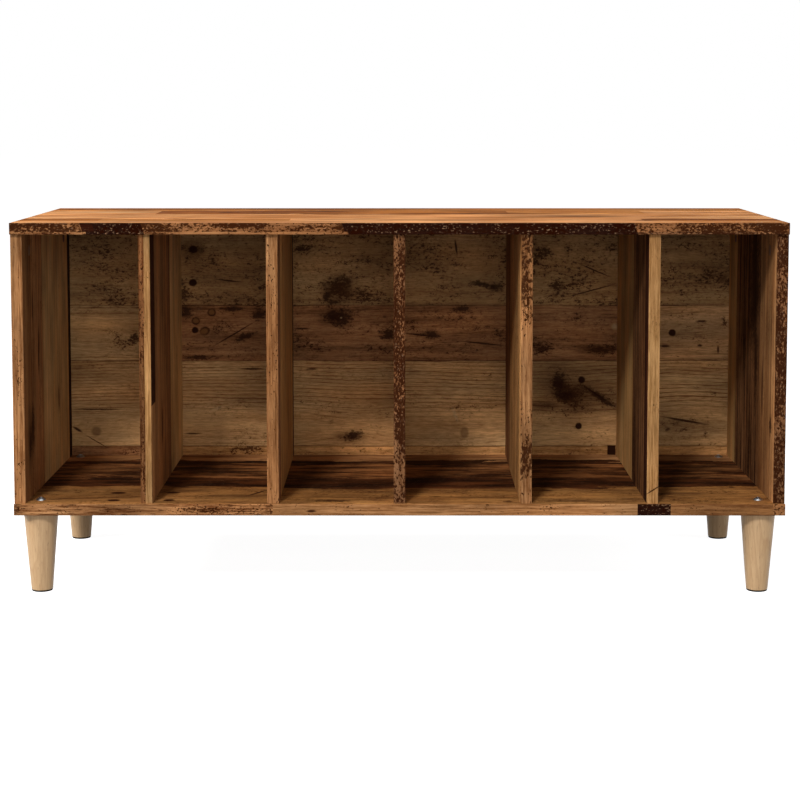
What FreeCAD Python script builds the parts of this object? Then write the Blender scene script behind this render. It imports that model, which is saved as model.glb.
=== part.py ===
import FreeCAD, Part
import math
import os

# Open record cabinet: two full-width boards with uprights between them, on four turned legs.
# Millimetres, +Z up. The origin is on the floor under the middle of the cabinet.
# +X is to the right of someone facing the open front, and -Y is the front.

Vector = FreeCAD.Vector
UP = Vector(0, 0, 1)
DOWN = Vector(0, 0, -1)
RIGHT = Vector(1, 0, 0)
FORWARD = Vector(0, -1, 0)
LEFT_SIGN = -1
RIGHT_SIGN = 1
HEXAGON_SIDES = 6

# Carcass
CABINET_WIDTH = 1000.0
CABINET_DEPTH = 380.0
BAY_COUNT = 6
BAY_HEIGHT = 350.0
BOARD = 15.0
FRONT_SETBACK = 5.0
CUT_OVERRUN = 1.0

# Edge bands, glued round the edges that show
BAND = 1.0
BAND_ROUNDING_SHARE = 0.8

# Back panel, held in grooves and pinned to the dividers
BACK_THICKNESS = 3.0
GROOVE_FROM_REAR = 9.0
GROOVE_DEPTH = 5.0
GROOVE_SIDE_GAP = 0.2
GROOVE_END_GAP = 0.5
PIN_SHANK_RADIUS = 0.7
PIN_LENGTH = 20.0
PIN_HEAD_RADIUS = 2.0
PIN_HEAD_THICKNESS = 0.8
PIN_FROM_ENDS = 45.0
PIN_END_GAP = 0.5
PINS_PER_DIVIDER = 3

# Legs and pads
LEG_LENGTH = 103.0
LEG_TOP_RADIUS = 22.5
LEG_FOOT_RADIUS = 14.0
LEG_ROUNDING = 1.0
LEG_FROM_ENDS = 30.0
LEG_FROM_FRONT = 30.0
PAD_THICKNESS = 2.0
PAD_RIM = 0.5
PAD_ROUNDING = 0.6

# Leg bolts, driven from inside the cabinet into a threaded insert in each leg
BOLT_RADIUS = 3.0
BOLT_REACH = 11.0
BOLT_HEAD_RADIUS = 6.5
BOLT_HEAD_HEIGHT = 3.5
BOLT_SOCKET_ACROSS = 4.0
BOLT_SOCKET_DEPTH = 2.2
BOLT_HOLE_GAP = 0.4
INSERT_WALL = 1.9
INSERT_LENGTH = 13.0
INSERT_END_GAP = 2.0

# Wooden dowels, in both ends of every upright
DOWEL_RADIUS = 4.0
DOWEL_IN_BOARD = 10.5
DOWEL_IN_UPRIGHT = 19.5
DOWEL_END_GAP = 0.5
DOWEL_CHAMFER = 1.0
DOWEL_FROM_SCREW = 32.0

# Screws and cams, on one drilling pattern for all uprights
SCREW_FROM_FRONT = 50.0
SCREW_FROM_BACK = 50.0
FIT_GAP = 0.05

# Cam bolts in the top board, cams in the uprights and the cover caps over them
CAM_FROM_TOP = 24.0
CAM_RADIUS = 7.4
CAM_HOLE_FLOOR = 2.0
CAM_GAP = 0.1
CAM_SLOT_GAP = 0.25
CAM_CROSS_WIDTH = 1.6
CAM_CROSS_LENGTH = 8.0
CAM_CROSS_DEPTH = 2.0
CAP_THICKNESS = 0.9
CAP_STEM_RADIUS = 0.7
CAP_STEM_LENGTH = 1.5
CAM_BOLT_THREAD_RADIUS = 3.1
CAM_BOLT_THREAD_LENGTH = 11.0
CAM_BOLT_SHAFT_RADIUS = 3.5
CAM_BOLT_NECK_RADIUS = 2.2
CAM_BOLT_HEAD_RADIUS = 3.3
CAM_BOLT_HEAD_LENGTH = 4.5
CAM_BOLT_END_GAP = 0.5

# Long screws, driven up through the bottom board into the uprights
SCREW_RADIUS = 3.5
SCREW_LENGTH = 50.0
SCREW_HEAD_RADIUS = 5.0
SCREW_HEAD_HEIGHT = 3.5
SCREW_SOCKET_ACROSS = 4.0
SCREW_SOCKET_DEPTH = 2.5
SCREW_TIP_LENGTH = 4.0
SCREW_TIP_RADIUS = 1.2
SCREW_END_GAP = 1.0

# Levels and planes worked out from the sizes above
BOTTOM_UNDER = PAD_THICKNESS + LEG_LENGTH
FLOOR = BOTTOM_UNDER + BOARD
CEILING = FLOOR + BAY_HEIGHT
TOP = CEILING + BOARD
FRONT = -CABINET_DEPTH / 2
REAR = CABINET_DEPTH / 2
UPRIGHT_FRONT = FRONT + FRONT_SETBACK
GROOVE_REAR = REAR - GROOVE_FROM_REAR
BACK_REAR = GROOVE_REAR - GROOVE_SIDE_GAP
BACK_FRONT = BACK_REAR - BACK_THICKNESS
GROOVE_FRONT = BACK_FRONT - GROOVE_SIDE_GAP
HALF_WIDTH = CABINET_WIDTH / 2
INNER_HALF_WIDTH = HALF_WIDTH - BOARD
DIVIDER_COUNT = BAY_COUNT - 1
BAY_WIDTH = (CABINET_WIDTH - BOARD * (BAY_COUNT + 1)) / BAY_COUNT
DIVIDER_STEP = BAY_WIDTH + BOARD
SCREW_PLACES = (UPRIGHT_FRONT + SCREW_FROM_FRONT, BACK_FRONT - SCREW_FROM_BACK)
DOWEL_PLACES = (SCREW_PLACES[0] + DOWEL_FROM_SCREW, SCREW_PLACES[1] - DOWEL_FROM_SCREW)
PIN_RISE = (BAY_HEIGHT - 2 * PIN_FROM_ENDS) / (PINS_PER_DIVIDER - 1)
CAM_LEVEL = CEILING - CAM_FROM_TOP
CAM_HOLE_RADIUS = CAM_RADIUS + CAM_GAP
CAM_HOLE_DEPTH = BOARD - CAM_HOLE_FLOOR
CAM_HEIGHT = CAM_HOLE_DEPTH - CAP_THICKNESS - CAM_GAP
BOLT_HOLE_RADIUS = BOLT_RADIUS + BOLT_HOLE_GAP
INSERT_RADIUS = BOLT_RADIUS + FIT_GAP + INSERT_WALL


def box(x_low, x_high, y_low, y_high, z_low, z_high):
    """A box between two planes along each axis."""
    size = (x_high - x_low, y_high - y_low, z_high - z_low)
    return Part.makeBox(*size, Vector(x_low, y_low, z_low))


def rod(radius, start, direction, length):
    """A round rod that starts at a point and runs along a direction."""
    return Part.makeCylinder(radius, length, start, direction)


def cone(start_radius, end_radius, start, direction, length):
    """A tapered rod that starts at a point and runs along a direction."""
    return Part.makeCone(start_radius, end_radius, length, start, direction)


def hexagon_rod(across, start, direction, length):
    """A six-sided rod, given across its flats, for a hexagon socket."""
    turn = 2 * math.pi / HEXAGON_SIDES
    corner = across / 2 / math.cos(turn / 2)
    points = []
    for step in range(HEXAGON_SIDES + 1):
        angle = turn * step
        points.append(Vector(corner * math.cos(angle), corner * math.sin(angle), 0))
    outline = Part.Face(Part.makePolygon(points))
    outline.Placement = FreeCAD.Placement(start, FreeCAD.Rotation(UP, direction))
    return outline.extrude(direction * length)


def joined(pieces):
    """One solid from pieces that touch."""
    whole = pieces[0]
    for piece in pieces[1:]:
        whole = whole.fuse(piece)
    return whole.removeSplitter()


def bored(board, cuts):
    """A board with all its grooves and holes cut out."""
    return board.cut(Part.makeCompound(cuts))


def save(name, solids):
    """Writes one node, a single solid or a group of them."""
    shape = solids[0] if len(solids) == 1 else Part.makeCompound(solids)
    shape.exportStep(os.path.join("parts", name + ".step"))


class Upright:
    """A side or divider: where its middle plane is, how deep it is and which face carries its cams."""

    def __init__(self, name, middle, rear, cam_side):
        self.name = name
        self.middle = middle
        self.rear = rear
        self.cam_side = cam_side
        self.is_side = rear == REAR

    def cam_face(self):
        """The X of the face that its cams go into."""
        return self.middle + self.cam_side * BOARD / 2


def all_uprights():
    """Both sides and every divider, from left to right. Dividers carry their cams on the outward face."""
    middle = HALF_WIDTH - BOARD / 2
    uprights = [Upright("left_side", -middle, REAR, RIGHT_SIGN)]
    for number in range(1, DIVIDER_COUNT + 1):
        place = -middle + number * DIVIDER_STEP
        facing = LEFT_SIGN if number <= DIVIDER_COUNT / 2 else RIGHT_SIGN
        uprights.append(Upright(f"divider_{number}", place, BACK_FRONT, facing))
    uprights.append(Upright("right_side", middle, REAR, LEFT_SIGN))
    return uprights


def fastener_points(uprights, places, level):
    """Points at one level where every upright has a fastener of one kind."""
    return [Vector(upright.middle, place, level) for upright in uprights for place in places]


def leg_axes():
    """The four leg axes, each as a name and its X and Y."""
    axes = []
    for row, y in (("front", FRONT + LEG_FROM_FRONT), ("rear", REAR - LEG_FROM_FRONT)):
        for side, sign in (("left", LEFT_SIGN), ("right", RIGHT_SIGN)):
            axes.append((f"{row}_{side}", sign * (HALF_WIDTH - LEG_FROM_ENDS), y))
    return axes


def board_groove(z_low, z_high):
    """The stopped groove in the top or bottom board that takes the back panel."""
    reach = INNER_HALF_WIDTH + GROOVE_DEPTH
    return box(-reach, reach, GROOVE_FRONT, GROOVE_REAR, z_low, z_high)


def lying_core(z_low, z_high):
    """The chipboard core of the top or bottom board, inside its edge bands."""
    reach = HALF_WIDTH - BAND
    return box(-reach, reach, FRONT + BAND, REAR - BAND, z_low, z_high)


def make_top_panel(uprights):
    """Top board, grooved and drilled from below for the cam bolts and dowels."""
    cuts = [board_groove(CEILING - CUT_OVERRUN, CEILING + GROOVE_DEPTH)]
    thread = CAM_BOLT_THREAD_LENGTH + CAM_BOLT_END_GAP
    for point in fastener_points(uprights, SCREW_PLACES, CEILING):
        cuts.append(rod(CAM_BOLT_THREAD_RADIUS + FIT_GAP, point, UP, thread))
    for point in fastener_points(uprights, DOWEL_PLACES, CEILING):
        cuts.append(rod(DOWEL_RADIUS + FIT_GAP, point, UP, DOWEL_IN_BOARD + DOWEL_END_GAP))
    save("top_panel", [bored(lying_core(CEILING, TOP), cuts)])


def make_bottom_panel(uprights):
    """Bottom board, grooved and drilled for the dowels, long screws and leg bolts."""
    cuts = [board_groove(FLOOR - GROOVE_DEPTH, FLOOR + CUT_OVERRUN)]
    for point in fastener_points(uprights, DOWEL_PLACES, FLOOR):
        cuts.append(rod(DOWEL_RADIUS + FIT_GAP, point, DOWN, DOWEL_IN_BOARD + DOWEL_END_GAP))
    for point in fastener_points(uprights, SCREW_PLACES, BOTTOM_UNDER):
        cuts.append(rod(SCREW_RADIUS + FIT_GAP, point, UP, BOARD))
        cuts.append(rod(SCREW_HEAD_RADIUS + FIT_GAP, point, UP, SCREW_HEAD_HEIGHT))
    for _, x, y in leg_axes():
        cuts.append(rod(BOLT_HOLE_RADIUS, Vector(x, y, BOTTOM_UNDER), UP, BOARD))
    save("bottom_panel", [bored(lying_core(BOTTOM_UNDER, FLOOR), cuts)])


def upright_holes(upright):
    """Every hole that all uprights share: for dowels, long screws, cam bolts and cams."""
    cuts = []
    end_hole = DOWEL_IN_UPRIGHT + DOWEL_END_GAP
    for point in fastener_points([upright], DOWEL_PLACES, CEILING):
        cuts.append(rod(DOWEL_RADIUS + FIT_GAP, point, DOWN, end_hole))
    for point in fastener_points([upright], DOWEL_PLACES, FLOOR):
        cuts.append(rod(DOWEL_RADIUS + FIT_GAP, point, UP, end_hole))
    for point in fastener_points([upright], SCREW_PLACES, FLOOR):
        cuts.append(rod(SCREW_RADIUS + FIT_GAP, point, UP, SCREW_LENGTH - BOARD + SCREW_END_GAP))
    for point in fastener_points([upright], SCREW_PLACES, CEILING):
        cuts.append(rod(CAM_BOLT_SHAFT_RADIUS + FIT_GAP, point, DOWN, CAM_FROM_TOP))
    inward = RIGHT * -upright.cam_side
    for place in SCREW_PLACES:
        mouth = Vector(upright.cam_face(), place, CAM_LEVEL)
        cuts.append(rod(CAM_HOLE_RADIUS, mouth, inward, CAM_HOLE_DEPTH))
    return cuts


def side_groove(upright):
    """The groove down the inner face of a side that takes the end of the back panel."""
    inner = upright.cam_face()
    depth = inner - upright.cam_side * GROOVE_DEPTH
    mouth = inner + upright.cam_side * CUT_OVERRUN
    low, high = sorted((depth, mouth))
    return box(low, high, GROOVE_FRONT, GROOVE_REAR, FLOOR, CEILING)


def pin_levels():
    """The heights of the pins that hold the back panel to each divider."""
    return [FLOOR + PIN_FROM_ENDS + step * PIN_RISE for step in range(PINS_PER_DIVIDER)]


def pin_holes(upright):
    """The holes in a divider's rear edge for the back panel's pins."""
    reach = PIN_LENGTH - BACK_THICKNESS + PIN_END_GAP
    radius = PIN_SHANK_RADIUS + FIT_GAP
    return [rod(radius, Vector(upright.middle, BACK_FRONT, z), FORWARD, reach) for z in pin_levels()]


def make_upright(upright):
    """A side or divider board, drilled, and grooved or pinned for the back panel."""
    rear = upright.rear - BAND if upright.is_side else upright.rear
    low, high = upright.middle - BOARD / 2, upright.middle + BOARD / 2
    core = box(low, high, UPRIGHT_FRONT + BAND, rear, FLOOR, CEILING)
    cuts = upright_holes(upright)
    if upright.is_side:
        cuts.append(side_groove(upright))
    else:
        cuts.extend(pin_holes(upright))
    name = upright.name + "_panel" if upright.is_side else upright.name
    save(name, [bored(core, cuts)])


def back_sheet():
    """The thin fibreboard back, a little smaller than the grooves that hold it."""
    reach_z = GROOVE_DEPTH - GROOVE_END_GAP
    reach_x = INNER_HALF_WIDTH + reach_z
    return box(-reach_x, reach_x, BACK_FRONT, BACK_REAR, FLOOR - reach_z, CEILING + reach_z)


def make_back_and_pins(uprights):
    """The back panel, with a hole for every pin, and the pins as one group."""
    holes, pins = [], []
    for upright in uprights:
        if upright.is_side:
            continue
        for level in pin_levels():
            start = Vector(upright.middle, BACK_REAR, level)
            holes.append(rod(PIN_SHANK_RADIUS + FIT_GAP, start, FORWARD, BACK_THICKNESS))
            shank = rod(PIN_SHANK_RADIUS, start, FORWARD, PIN_LENGTH)
            head = rod(PIN_HEAD_RADIUS, start, -FORWARD, PIN_HEAD_THICKNESS)
            pins.append(joined([shank, head]))
    save("back_panel", [bored(back_sheet(), holes)])
    save("back_panel_pins", pins)


def band_strip(x_low, x_high, y_low, y_high, z_low, z_high, outward):
    """A strip of edge band with the two long edges of its outer face rounded."""
    strip = box(x_low, x_high, y_low, y_high, z_low, z_high)
    outer = max(strip.Faces, key=lambda face: face.CenterOfMass.dot(outward))
    long_edges = sorted(outer.Edges, key=lambda edge: edge.Length)[-2:]
    return strip.makeFillet(BAND * BAND_ROUNDING_SHARE, long_edges)


def make_lying_bands(name, z_low, z_high):
    """The bands on all four edges of the top or bottom board. The end bands fit between the long ones."""
    strips = []
    reach = REAR - BAND
    for sign in (LEFT_SIGN, RIGHT_SIGN):
        y_low, y_high = sorted((sign * REAR, sign * reach))
        strips.append(band_strip(-HALF_WIDTH, HALF_WIDTH, y_low, y_high, z_low, z_high, FORWARD * -sign))
        x_low, x_high = sorted((sign * HALF_WIDTH, sign * (HALF_WIDTH - BAND)))
        strips.append(band_strip(x_low, x_high, -reach, reach, z_low, z_high, RIGHT * sign))
    save(name, strips)


def make_upright_bands(upright):
    """The front band of an upright and, on a side, the rear band too."""
    low, high = upright.middle - BOARD / 2, upright.middle + BOARD / 2
    front_low, front_high = UPRIGHT_FRONT, UPRIGHT_FRONT + BAND
    strips = [band_strip(low, high, front_low, front_high, FLOOR, CEILING, FORWARD)]
    if upright.is_side:
        strips.append(band_strip(low, high, REAR - BAND, REAR, FLOOR, CEILING, -FORWARD))
    save(upright.name + "_edge_bands", strips)


def make_dowels(name, uprights, level, into_upright):
    """Dowels between the uprights and one lying board, chamfered at both ends."""
    dowels = []
    for point in fastener_points(uprights, DOWEL_PLACES, level):
        start = point - into_upright * DOWEL_IN_BOARD
        length = DOWEL_IN_BOARD + DOWEL_IN_UPRIGHT
        dowel = rod(DOWEL_RADIUS, start, into_upright, length)
        ends = [edge for edge in dowel.Edges if edge.Closed]
        dowels.append(dowel.makeChamfer(DOWEL_CHAMFER, ends))
    save(name, dowels)


def make_cam_bolts(uprights):
    """Bolts screwed up into the top board, each with a waisted neck for its cam to pull on."""
    bolts = []
    neck_start = CAM_FROM_TOP - CAM_RADIUS
    head_start = CAM_FROM_TOP - CAM_BOLT_HEAD_LENGTH / 2
    for point in fastener_points(uprights, SCREW_PLACES, CEILING):
        thread = rod(CAM_BOLT_THREAD_RADIUS, point, UP, CAM_BOLT_THREAD_LENGTH)
        shaft = rod(CAM_BOLT_SHAFT_RADIUS, point, DOWN, neck_start)
        neck = rod(CAM_BOLT_NECK_RADIUS, point, DOWN, CAM_FROM_TOP)
        head_top = point + DOWN * head_start
        head = rod(CAM_BOLT_HEAD_RADIUS, head_top, DOWN, CAM_BOLT_HEAD_LENGTH)
        bolts.append(joined([thread, shaft, neck, head]))
    save("cam_bolts", bolts)


def cam_cross(face, inward, y):
    """The cross recess in a cam's outer end."""
    depth = inward * CAM_CROSS_DEPTH
    half_width, half_length = CAM_CROSS_WIDTH / 2, CAM_CROSS_LENGTH / 2
    x_low, x_high = sorted((face, face + depth.x))
    bars = []
    for half_y, half_z in ((half_width, half_length), (half_length, half_width)):
        bar = box(x_low, x_high, y - half_y, y + half_y, CAM_LEVEL - half_z, CAM_LEVEL + half_z)
        bars.append(bar)
    return bars


def cam_pocket(middle, y):
    """The room inside a cam for the head and neck of its bolt, open towards the top board."""
    neck_room = CAM_BOLT_NECK_RADIUS + CAM_SLOT_GAP
    head_room = CAM_BOLT_HEAD_RADIUS + CAM_SLOT_GAP
    head_reach = CAM_BOLT_HEAD_LENGTH / 2 + CAM_SLOT_GAP
    centre = Vector(middle, y, CAM_LEVEL)
    neck = rod(neck_room, centre, UP, CAM_RADIUS + CUT_OVERRUN)
    head = rod(head_room, centre + DOWN * head_reach, UP, 2 * head_reach)
    return [neck, head]


def make_cams_and_caps(uprights):
    """The cams that clamp the cam bolts, and the flush caps that cover them."""
    cams, caps = [], []
    for upright in uprights:
        inward = RIGHT * -upright.cam_side
        for y in SCREW_PLACES:
            mouth = Vector(upright.cam_face(), y, CAM_LEVEL)
            face = mouth + inward * CAP_THICKNESS
            cam = rod(CAM_RADIUS, face, inward, CAM_HEIGHT)
            cuts = cam_cross(face.x, inward, y) + cam_pocket(upright.middle, y)
            cams.append(bored(cam, cuts))
            disc = rod(CAM_RADIUS, mouth, inward, CAP_THICKNESS)
            stem = rod(CAP_STEM_RADIUS, face, inward, CAP_STEM_LENGTH)
            caps.append(joined([disc, stem]))
    save("cam_locks", cams)
    save("cam_cover_caps", caps)


def make_long_screws(uprights):
    """Screws with a flat head, a hexagon socket and a pointed tip."""
    screws = []
    straight = SCREW_LENGTH - SCREW_TIP_LENGTH
    for point in fastener_points(uprights, SCREW_PLACES, BOTTOM_UNDER):
        head = rod(SCREW_HEAD_RADIUS, point, UP, SCREW_HEAD_HEIGHT)
        shank = rod(SCREW_RADIUS, point, UP, straight)
        tip = cone(SCREW_RADIUS, SCREW_TIP_RADIUS, point + UP * straight, UP, SCREW_TIP_LENGTH)
        socket = hexagon_rod(SCREW_SOCKET_ACROSS, point, UP, SCREW_SOCKET_DEPTH)
        screws.append(joined([head, shank, tip]).cut(socket))
    save("carcass_screws", screws)


def turned_leg(x, y):
    """A tapered round leg with eased rims, bored from above for its threaded insert."""
    base = Vector(x, y, PAD_THICKNESS)
    leg = cone(LEG_FOOT_RADIUS, LEG_TOP_RADIUS, base, UP, LEG_LENGTH)
    rims = [edge for edge in leg.Edges if edge.Closed]
    leg = leg.makeFillet(LEG_ROUNDING, rims)
    top = Vector(x, y, BOTTOM_UNDER)
    hole = rod(INSERT_RADIUS + FIT_GAP, top, DOWN, INSERT_LENGTH + INSERT_END_GAP)
    return leg.cut(hole)


def foot_pad(x, y):
    """A thin dark pad under a leg, eased where it meets the floor."""
    pad = rod(LEG_FOOT_RADIUS - PAD_RIM, Vector(x, y, 0), UP, PAD_THICKNESS)
    floor_rim = [edge for edge in pad.Edges if edge.Closed and edge.CenterOfMass.z < PAD_THICKNESS / 2]
    return pad.makeFillet(PAD_ROUNDING, floor_rim)


def threaded_insert(x, y):
    """A plain-bored bush that stands for the threaded insert in the top of a leg."""
    top = Vector(x, y, BOTTOM_UNDER)
    bush = rod(INSERT_RADIUS, top, DOWN, INSERT_LENGTH)
    return bush.cut(rod(BOLT_RADIUS + FIT_GAP, top, DOWN, INSERT_LENGTH))


def leg_bolt(x, y):
    """A domed bolt with a hexagon socket, its head on the cabinet's floor."""
    seat = Vector(x, y, FLOOR)
    shank = rod(BOLT_RADIUS, seat, DOWN, BOARD + BOLT_REACH)
    sphere_radius = (BOLT_HEAD_RADIUS ** 2 + BOLT_HEAD_HEIGHT ** 2) / (2 * BOLT_HEAD_HEIGHT)
    centre = seat + UP * (BOLT_HEAD_HEIGHT - sphere_radius)
    ball = Part.makeSphere(sphere_radius, centre)
    head = ball.common(rod(2 * BOLT_HEAD_RADIUS, seat, UP, 2 * BOLT_HEAD_HEIGHT))
    mouth = seat + UP * (BOLT_HEAD_HEIGHT + CUT_OVERRUN)
    socket = hexagon_rod(BOLT_SOCKET_ACROSS, mouth, DOWN, BOLT_SOCKET_DEPTH + CUT_OVERRUN)
    return joined([head, shank]).cut(socket)


def make_legs():
    """Four legs and pads, each a node, and the inserts and bolts that hold them."""
    bolts, inserts = [], []
    for name, x, y in leg_axes():
        save(name + "_leg", [turned_leg(x, y)])
        save(name + "_foot_pad", [foot_pad(x, y)])
        inserts.append(threaded_insert(x, y))
        bolts.append(leg_bolt(x, y))
    save("leg_inserts", inserts)
    save("leg_bolts", bolts)


def main():
    """Builds every node of the cabinet."""
    os.makedirs("parts", exist_ok=True)
    uprights = all_uprights()
    make_top_panel(uprights)
    make_bottom_panel(uprights)
    make_lying_bands("top_edge_bands", CEILING, TOP)
    make_lying_bands("bottom_edge_bands", BOTTOM_UNDER, FLOOR)
    for upright in uprights:
        make_upright(upright)
        make_upright_bands(upright)
    make_back_and_pins(uprights)
    make_dowels("top_dowels", uprights, CEILING, DOWN)
    make_dowels("bottom_dowels", uprights, FLOOR, UP)
    make_cam_bolts(uprights)
    make_cams_and_caps(uprights)
    make_long_screws(uprights)
    make_legs()


main()
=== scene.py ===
import logging
import math
from collections.abc import Callable
from dataclasses import dataclass
from enum import Enum

import bpy
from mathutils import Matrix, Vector


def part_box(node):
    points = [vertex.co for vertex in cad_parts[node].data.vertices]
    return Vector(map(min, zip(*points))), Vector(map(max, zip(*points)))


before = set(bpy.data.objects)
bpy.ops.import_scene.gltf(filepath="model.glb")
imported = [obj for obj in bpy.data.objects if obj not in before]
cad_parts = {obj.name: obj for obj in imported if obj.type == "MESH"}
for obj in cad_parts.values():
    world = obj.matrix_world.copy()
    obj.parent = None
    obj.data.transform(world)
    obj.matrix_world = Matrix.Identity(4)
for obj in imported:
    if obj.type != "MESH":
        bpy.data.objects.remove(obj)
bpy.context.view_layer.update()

# A low open record cabinet of boards printed like old pine, on turned legs of a pale wood.
# Places in the scene are in metres. Inside the finishes, and in the lists of planks and marks, lengths are in
# millimetres, in the same frame.
LOG = logging.getLogger("record_cabinet")
MM = 0.001

# Node kinds
COORDINATES = "ShaderNodeTexCoord"
GEOMETRY = "ShaderNodeNewGeometry"
SEPARATE = "ShaderNodeSeparateXYZ"
COMBINE = "ShaderNodeCombineXYZ"
SEPARATE_COLOUR = "ShaderNodeSeparateColor"
MATH = "ShaderNodeMath"
VECTOR = "ShaderNodeVectorMath"
RANGE = "ShaderNodeMapRange"
RAMP = "ShaderNodeValToRGB"
MIX = "ShaderNodeMix"
NOISE = "ShaderNodeTexNoise"
CELLS = "ShaderNodeTexVoronoi"
BUMP = "ShaderNodeBump"
SURFACE = "ShaderNodeBsdfPrincipled"
OUTPUT = "ShaderNodeOutputMaterial"
WORLD_OUTPUT = "ShaderNodeOutputWorld"
LIGHT_PATH = "ShaderNodeLightPath"
BACKGROUND = "ShaderNodeBackground"
EMISSION = "ShaderNodeEmission"
DIFFUSE = "ShaderNodeBsdfDiffuse"
ADD_SHADER = "ShaderNodeAddShader"
MIX_SHADER = "ShaderNodeMixShader"

# Sockets and settings of the Mix node when it mixes colours
MIX_A = 6
MIX_B = 7
MIX_COLOURS = {"out": 2, "data_type": "RGBA"}

Socket = bpy.types.NodeSocket


def linear(colour: str) -> tuple[float, float, float, float]:
    """Turns an sRGB hex colour into a linear one.

    Args:
        colour: six hex digits after a number sign.

    Returns:
        Red, green, blue and an alpha of 1.
    """
    channels = []
    for start in (1, 3, 5):
        value = int(colour[start:start + 2], 16) / 255
        channels.append(value / 12.92 if value <= 0.04045 else ((value + 0.055) / 1.055) ** 2.4)
    return (*channels, 1.0)


class Axis(Enum):
    """An axis of the cabinet's frame, by its place in a vector."""

    X = 0
    Y = 1
    Z = 2


class Nodes:
    """A node tree that is built node by node."""

    def __init__(self, tree: bpy.types.NodeTree) -> None:
        """Clears a tree and keeps it.

        Args:
            tree: the tree of a material or a world.
        """
        self.tree = tree
        tree.nodes.clear()

    def add(self, kind: str, inputs: dict, out: int | str = 0, stops: tuple = (), held: bool = False,
            **settings: object) -> Socket | None:
        """Adds one node with its settings and links.

        Args:
            kind: the node's type.
            inputs: values or other nodes' sockets, by the input's name or number.
            out: the output to return, by name or number.
            stops: for a colour ramp, pairs of place and colour.
            held: for a colour ramp, whether each colour holds up to the next stop.
            settings: the node's own properties.

        Returns:
            The chosen output, or None for a node that has none.
        """
        node = self.tree.nodes.new(kind)
        for name, value in settings.items():
            setattr(node, name, value)
        if stops:
            ramp = node.color_ramp
            ramp.interpolation = "CONSTANT" if held else "LINEAR"
            while len(ramp.elements) > len(stops):
                ramp.elements.remove(ramp.elements[-1])
            while len(ramp.elements) < len(stops):
                ramp.elements.new(1.0)
            for element, (place, colour) in zip(ramp.elements, stops):
                element.position = place
                element.color = colour
        for name, value in inputs.items():
            if isinstance(value, Socket):
                self.tree.links.new(value, node.inputs[name])
            else:
                node.inputs[name].default_value = value
        return node.outputs[out] if node.outputs else None


class Finish(Nodes):
    """A node material. Every finish of the cabinet builds on it."""

    def __init__(self, name: str) -> None:
        """Starts an empty material.

        Args:
            name: what the material is and how its surface was made.
        """
        self.material = bpy.data.materials.new(name)
        self.material.use_nodes = True
        super().__init__(self.material.node_tree)

    def dress(self, *nodes: str) -> None:
        """Gives this finish to CAD nodes.

        Args:
            nodes: the nodes' names.
        """
        for name in nodes:
            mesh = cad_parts[name].data
            mesh.materials.clear()
            mesh.materials.append(self.material)
            LOG.info("%s is finished in %s", name, self.material.name)

    def millimetres(self) -> Socket:
        """The point in the cabinet's frame, in millimetres."""
        metres = self.add(COORDINATES, {}, "Object")
        return self.add(VECTOR, {0: metres, "Scale": 1 / MM}, operation="SCALE")


@dataclass(frozen=True)
class Tone:
    """One sort of plank in the print: its pale and dark wood, and the strength of each pattern, 0 to 1."""

    pale: str
    dark: str
    rings: float
    wear: float
    smears: float
    streaks: float
    flecks: float = 0.15


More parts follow.
